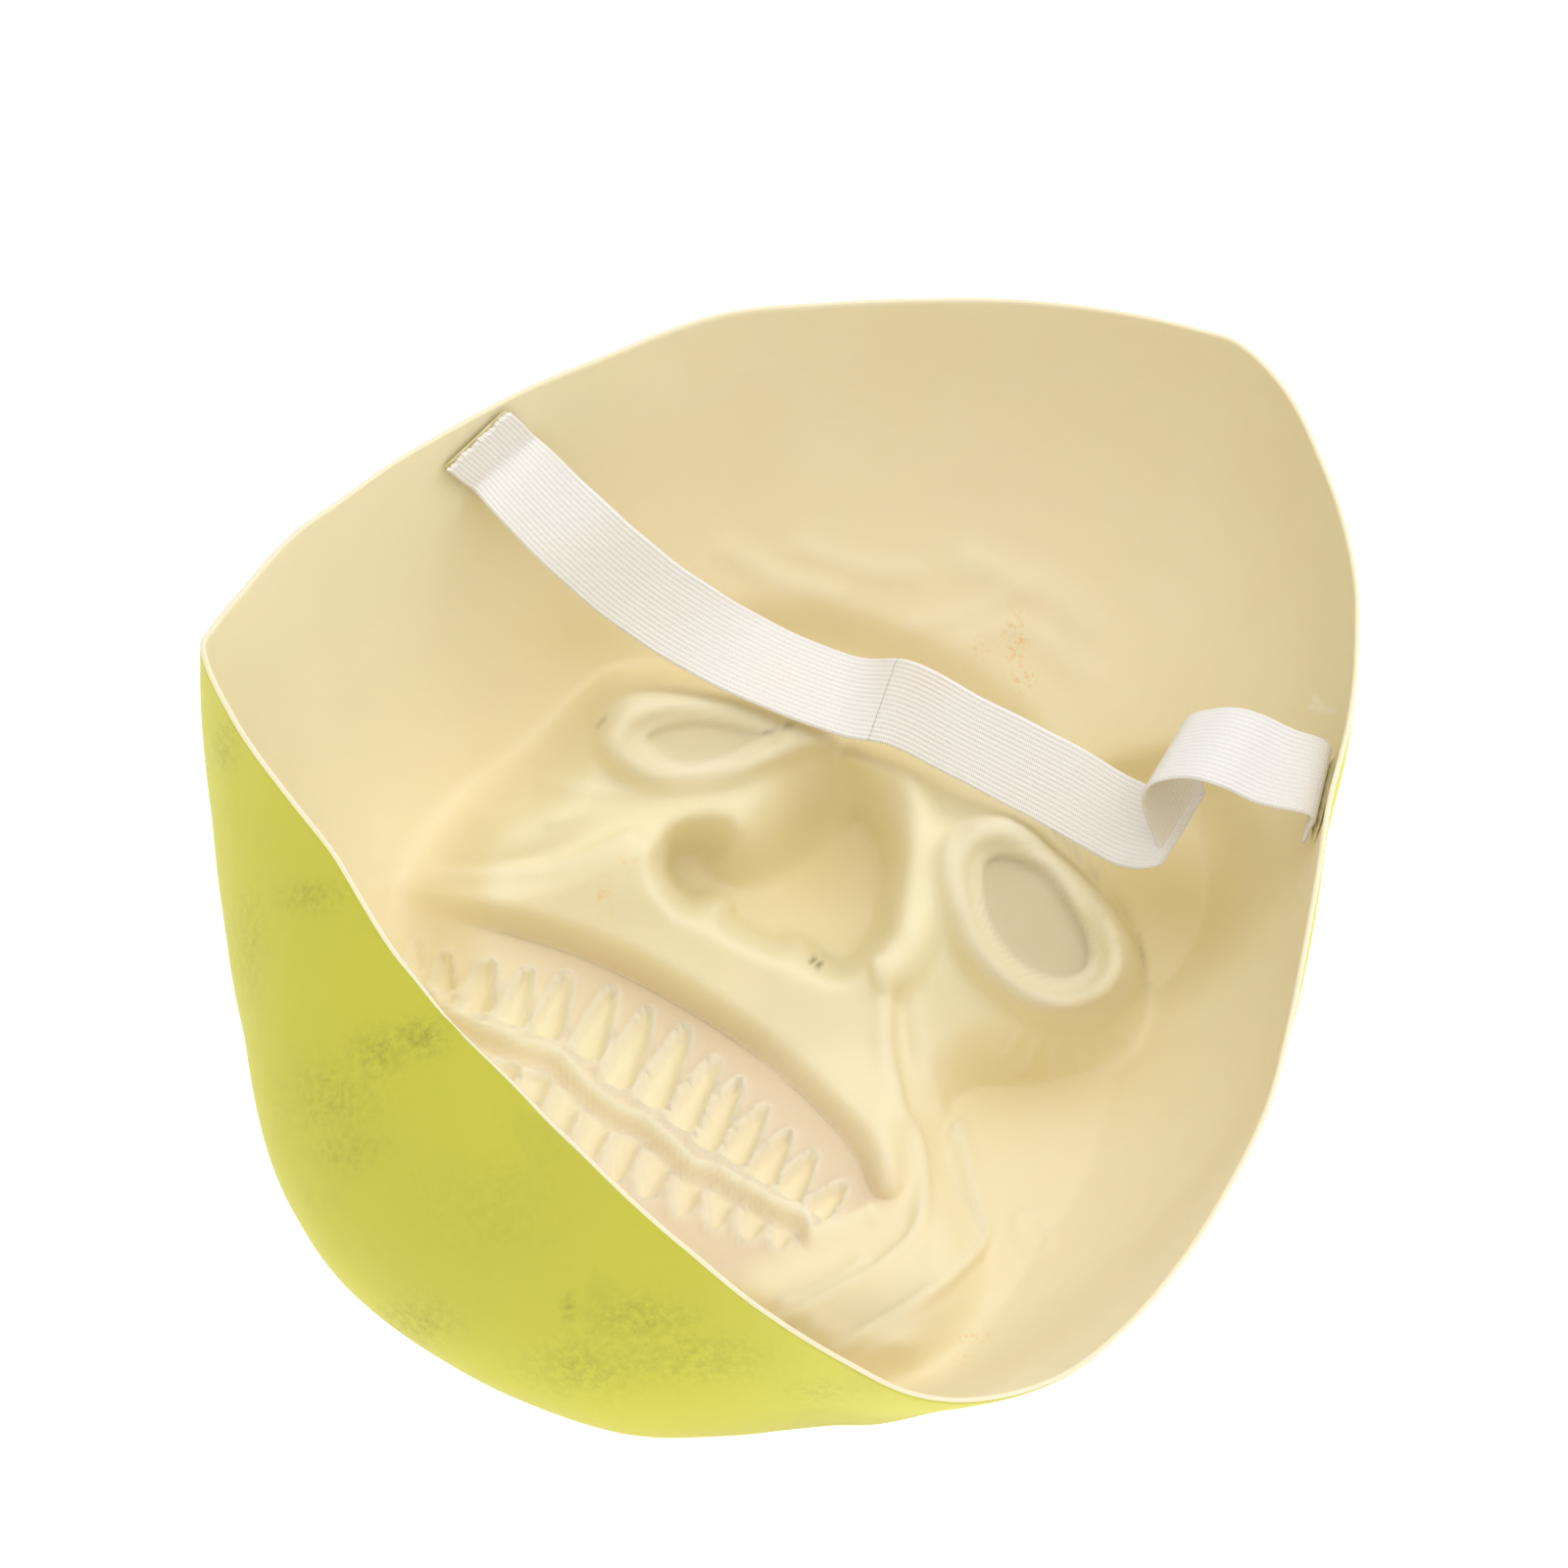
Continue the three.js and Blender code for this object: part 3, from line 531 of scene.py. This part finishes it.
# hollow_shade: painted shade, greyish-tan darkening of the eye bowls and a few hollows by the mouth and chin
hollow_shade = np.zeros(n)
for poly, k3, w3 in ((BOWL_R, .95, 14), (EYE_R, .35, 20), (BOWL_L, .6, 12), (EYE_L, .3, 16)):
    e3, _ = edge_distance(px, py, rounded(poly))
    hollow_shade = np.maximum(hollow_shade, k3 * smooth(e3 / w3 + 0.3))
hollow_shade = np.maximum(hollow_shade, spots(px, py, [(860, 1345, 110, 34, .55), (760, 1340, 80, 24, .4), (820, 1050, 70, 40, .25), (650, 930, 110, 26, .15)]))
speck = spots(px, py, [(1035, 655, 12, 30, 1), (1046, 690, 14, 16, .9), (1000, 662, 12, 12, .6), (615, 912, 6, 14, 1), (640, 880, 5, 10, .7), (622, 925, 8, 10, .6), (990, 1365, 20, 5, 1), (978, 1388, 12, 6, .8), (1100, 1020, 14, 10, .4)])
# hole_shade: painted shade, dark dashes standing in for the nostril hole and the eye slits, which are not cut in the
# mesh
hole_shade = np.maximum.reduce([gauss(line_distance(px, py, l), 2.2) * f for l, f in (([(828, 979), (837, 987)], 1), ([(780, 750), (792, 745)], .45), ([(800, 743), (810, 740)], .5), ([(612, 742), (620, 735)], .45))])
scratch = np.maximum.reduce([gauss(line_distance(px, py, l), 2.5) for l in ([(1338, 722), (1362, 726)], [(1342, 712), (1352, 722)])])
pad = np.zeros(n + k)
# crest_highlight also paints a highlight along the rim lip
attr(shell, "recess_and_strap_shade", np.r_[recess_and_strap_shade, pad]); attr(shell, "hollow_shade", np.r_[hollow_shade, pad]); attr(shell, "gum", np.r_[gum * live, pad]); attr(shell, "crest_highlight", np.r_[crest_highlight, np.zeros(n), np.full(k, .8)])
attr(shell, "speck", np.r_[speck, pad]); attr(shell, "hole_shade", np.r_[hole_shade, pad]); attr(shell, "scratch", np.r_[scratch, pad])
ox, oy = on_sheet(outer)
smudge = spots(ox, oy, [(430, 1058, 26, 20, 1), (385, 1075, 30, 26, .8), (318, 915, 34, 16, .7), (340, 1120, 50, 40, .5), (355, 1175, 40, 22, .5), (580, 1335, 8, 14, .9), (650, 1345, 55, 24, .75), (700, 1385, 80, 26, .6), (420, 1352, 46, 26, .7), (600, 1395, 70, 30, .6), (230, 760, 14, 26, .7), (255, 960, 16, 60, .4), (840, 1420, 40, 14, .5), (500, 1230, 80, 60, .18)])
back = 0.35 * smooth((outer[:, 1] + 20) / 110) * np.exp(-((outer[:, 2] - 55) / 30) ** 2)
# floor_shade: painted shade, the outer paint darker towards the floor
floor_shade = smooth((46 - outer[:, 2]) / 46)
attr(shell, "smudge", np.r_[np.zeros(n), np.maximum(smudge, back), np.zeros(k)])
attr(shell, "floor_shade", np.r_[np.zeros(n), floor_shade, np.zeros(k)])
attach(shell, "shell"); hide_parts("mask_shell")

# ---------------- strap ----------------
ST = np.array(STRAP, float)
mid = (ST[:, :3] + ST[:, 3:]) / 2


def centripetal(P, tt):
    """Points at tt in 0..1 on a centripetal Catmull-Rom curve, equal steps of tt between stations."""
    E = np.vstack([2 * P[0] - P[1], P, 2 * P[-1] - P[-2]])
    f = np.clip(tt, 0, 1) * (len(P) - 1)
    i = np.minimum(f.astype(int), len(P) - 2)
    w2 = (f - i)[:, None]
    p0, p1, p2, p3 = E[i], E[i + 1], E[i + 2], E[i + 3]
    d0, d1, d2 = (np.maximum(np.linalg.norm(q2, axis=1), 1e-8)[:, None] ** 0.5 for q2 in (p1 - p0, p2 - p1, p3 - p2))
    t1 = ((p1 - p0) / d0 - (p2 - p0) / (d0 + d1) + (p2 - p1) / d1) * d1
    t2 = ((p2 - p1) / d1 - (p3 - p1) / (d1 + d2) + (p3 - p2) / d2) * d1
    return p1 + t1 * w2 + (-3 * p1 + 3 * p2 - 2 * t1 - t2) * w2**2 + (2 * p1 - 2 * p2 + t1 + t2) * w2**3


q = np.linspace(0, 1, 4001)
C3 = centripetal(mid, q)
cum = np.r_[0, np.cumsum(np.linalg.norm(np.diff(C3, axis=0), axis=1))]
LENGTH = cum[-1]


def frames(mm):
    tt = np.interp(mm, cum, q)
    a1, b1 = centripetal(ST[:, :3], tt), centripetal(ST[:, 3:], tt)
    c1 = (a1 + b1) / 2
    e = 1e-3
    t1 = centripetal(mid, np.minimum(1, tt + e)) - centripetal(mid, np.maximum(0, tt - e))
    t1 /= np.linalg.norm(t1, axis=1)[:, None]
    w1 = b1 - a1; w1 /= np.linalg.norm(w1, axis=1)[:, None]
    n1 = np.cross(t1, w1); n1 /= np.linalg.norm(n1, axis=1)[:, None]
    return c1, t1, w1, n1


WIDTH, THICK = 20.0, 1.2
NW = 144


def strap_piece(name, m0, m1, body_from, body_to, flip):
    steps = int((m1 - m0) / (0.5))
    mm = np.linspace(m0, m1, steps + 1)
    c1, t1, w1, n1 = frames(mm)
    v = np.linspace(-0.5, 0.5, NW + 1)
    rib = 0.10 * (1 - np.cos(2 * np.pi * (v * WIDTH) / 1.111)) * 0.5
    edge_in = 0.35 * smooth((np.abs(v) - 0.47) / 0.03)
    wob = 1 + 0.008 * np.sin(mm / 6.3) + 0.006 * np.sin(mm / 2.7)
    rag = np.where(mm < 0.6, 1.0, 0.0)[:, None] * (0.30 * np.sin(v * 21 + 0.5) + 0.16 * np.sin(v * 73) + 0.10 * np.sin(v * 171))[None, :]
    top, bot = [], []
    P = c1[:, None, :] + w1[:, None, :] * (v * WIDTH)[None, :, None] * wob[:, None, None] - t1[:, None, :] * rag[..., None]
    top = P + n1[:, None, :] * (THICK - edge_in + rib * 1.0 - 0.1)[None, :, None]
    bot = P + n1[:, None, :] * (edge_in - rib * 0.8 + 0.1)[None, :, None]
    R, Cn = steps + 1, NW + 1
    vt = np.vstack([top.reshape(-1, 3), bot.reshape(-1, 3)])
    g = np.arange(R * Cn).reshape(R, Cn); o2 = R * Cn
    A, B, Cc, Dd = g[:-1, :-1].ravel(), g[1:, :-1].ravel(), g[1:, 1:].ravel(), g[:-1, 1:].ravel()
    fs = [np.stack([A, B, Cc, Dd], 1), np.stack([A, Dd, Cc, B], 1) + o2]
    l0, l1 = g[:-1, 0], g[1:, 0]; fs.append(np.stack([l0, l0 + o2, l1 + o2, l1], 1))
    r0, r1 = g[:-1, -1], g[1:, -1]; fs.append(np.stack([r0, r1, r1 + o2, r0 + o2], 1))
    e0, e1 = g[0, :-1], g[0, 1:]; fs.append(np.stack([e0, e1, e1 + o2, e0 + o2], 1))
    f0, f1 = g[-1, :-1], g[-1, 1:]; fs.append(np.stack([f0, f0 + o2, f1 + o2, f1], 1))
    ob = mesh(name, vt, np.vstack(fs), [elastic])
    caps = 2 * (Cn - 1)                       # both cut ends stay crisp
    ob.data.polygons.foreach_set("use_smooth", np.r_[np.full(len(ob.data.polygons) - caps, True), np.full(caps, False)])
    uvl = ob.data.uv_layers.new(name="strap")
    loops = np.empty(len(ob.data.loops), np.int32); ob.data.loops.foreach_get("vertex_index", loops)
    uu = np.tile(np.repeat(mm, Cn), 2); vv = np.tile(np.tile(v * WIDTH, R), 2)
    sx, sy = on_sheet(vt)
    # stain_and_shade: warm stain spots on the strap; the spot in the twist is painted shade on the strap's turned-over
    # underside
    attr(ob, "stain_and_shade", spots(sx, sy, [(945, 695, 30, 16, 1.0), (800, 690, 40, 20, .3), (1190, 850, 40, 40, .35)]))
    uvl.data.foreach_set("uv", np.stack([uu[loops], vv[loops]], 1).astype(np.float32).ravel())
    return ob


HALF = LENGTH * 0.46
left = strap_piece("strap_elastic_left_half", 0, HALF, 0, 0, False)
right = strap_piece("strap_elastic_right_half", HALF, LENGTH, 0, 0, True)


def at(mm):
    c1 = frames(np.array([float(mm)]))[0][0]
    return tuple((c1 + SHIFT) / 1000)


at(18)
at(40)
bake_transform(left)
at(LENGTH - 11)
at(LENGTH - 28)
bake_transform(right)
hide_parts("strap_end_left", "strap_web"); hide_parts("strap_end_right")

# ---------------- dried cement under the strap ends ----------------
def smear(name, m0, m1, side, grow, height):
    mm = np.linspace(m0, m1, 40); c1, t1, w1, n1 = frames(np.clip(mm, 0.01, LENGTH - 0.01))
    over = mm - np.clip(mm, 0.01, LENGTH - 0.01)
    c1 = c1 + t1 * over[:, None]
    v = np.linspace(-0.5, 0.5, 40)
    P = c1[:, None, :] + w1[:, None, :] * (v * (20 + grow))[None, :, None]
    fall = (1 - (2 * v) ** 6)[None, :] * (1 - (2 * (mm - m0) / (m1 - m0) - 1) ** 6)[:, None]
    ir = 1 + 0.25 * np.sin(mm * 1.9)[:, None] * np.cos(v * 31)[None, :]
    base_off = -0.25 if side < 0 else THICK + 0.25
    lowr = P + n1[:, None, :] * (base_off + side * height)
    hig = P + n1[:, None, :] * (base_off + side * height * (1 - np.clip(fall * ir, 0, 1)))[..., None]
    g = np.arange(1600).reshape(40, 40); A, B, Cc, Dd = g[:-1, :-1].ravel(), g[1:, :-1].ravel(), g[1:, 1:].ravel(), g[:-1, 1:].ravel()
    f1 = np.stack([A, B, Cc, Dd], 1); f2 = np.stack([A, Dd, Cc, B], 1) + 1600
    rg = np.r_[g[0, :-1], g[:-1, -1], g[-1, :0:-1], g[:0:-1, 0]]; r2 = np.roll(rg, -1)
    f3 = np.stack([rg, r2, r2 + 1600, rg + 1600], 1)
    if side > 0:
        f1, f2, f3 = f1[:, ::-1], f2[:, ::-1], f3[:, ::-1]
    return mesh(name, np.vstack([hig.reshape(-1, 3), lowr.reshape(-1, 3)]), np.vstack([f1, f2, f3]), [cement])


gl = smear("cement_left", 0.4, 13, -1, -0.8, 0.9)
gr = smear("cement_right", LENGTH - 6.5, LENGTH - 0.2, 1, -0.6, 0.9)
for o, nd in ((gl, "glue_pad_left"), (gr, "glue_pad_right")):
    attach(o, "shell"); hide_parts(nd)

# ---------------- floor, light, camera ----------------
floor = mesh("floor", np.array([[-4000, -4000, 0], [4000, -4000, 0], [4000, 4000, 0], [-4000, 4000, 0.0]]), np.array([[0, 1, 2, 3]]), [])
fm, t, bs = material("floor_white")
bs.inputs["Base Color"].default_value = (0.9, 0.9, 0.9, 1); bs.inputs["Roughness"].default_value = 0.9
bs.inputs["Emission Color"].default_value = (1, 1, 1, 1); bs.inputs["Emission Strength"].default_value = 0.8
floor.data.materials.append(fm)
floor.location.z = -0.0002

w = bpy.data.worlds.new("studio"); bpy.context.scene.world = w; w.use_nodes = True
w.node_tree.nodes["Background"].inputs[0].default_value = (1, 1, 1, 1)
w.node_tree.nodes["Background"].inputs[1].default_value = 0.74


def area(name, loc, size, power, target=(0, 0, 0.05)):
    L = bpy.data.lights.new(name, "AREA"); L.shape = "RECTANGLE"; L.size = size[0]; L.size_y = size[1]; L.energy = power
    o = bpy.data.objects.new(name, L); bpy.context.scene.collection.objects.link(o)
    o.location = loc
    o.rotation_euler = (Vector(target) - Vector(loc)).to_track_quat("-Z", "Y").to_euler()


area("key", (0.25, -0.15, 1.6), (1.7, 1.5), 9.5)
area("fill", (1.2, 0.5, 1.2), (1.4, 1.2), 6.5)

cam = bpy.data.cameras.new("camera"); cam.sensor_width = 36; cam.lens = 5980 * 36 / 1600
cam.clip_start = 0.05; cam.clip_end = 20
cam.shift_x = (800 - 794) / 1600; cam.shift_y = -(800 - 883) / 1600 * 1.0
co_ = bpy.data.objects.new("camera", cam); bpy.context.scene.collection.objects.link(co_)
co_.location = (SIGHT + SHIFT) / 1000
zc = -LOOK; xc = np.array([1.0, 0, 0]); yc = UPW
co_.matrix_world = Matrix(((xc[0], yc[0], zc[0], co_.location[0]), (xc[1], yc[1], zc[1], co_.location[1]), (xc[2], yc[2], zc[2], co_.location[2]), (0, 0, 0, 1)))
bpy.context.scene.camera = co_
bpy.context.scene.view_settings.view_transform = "Standard"
bpy.context.scene.view_settings.look = "None"
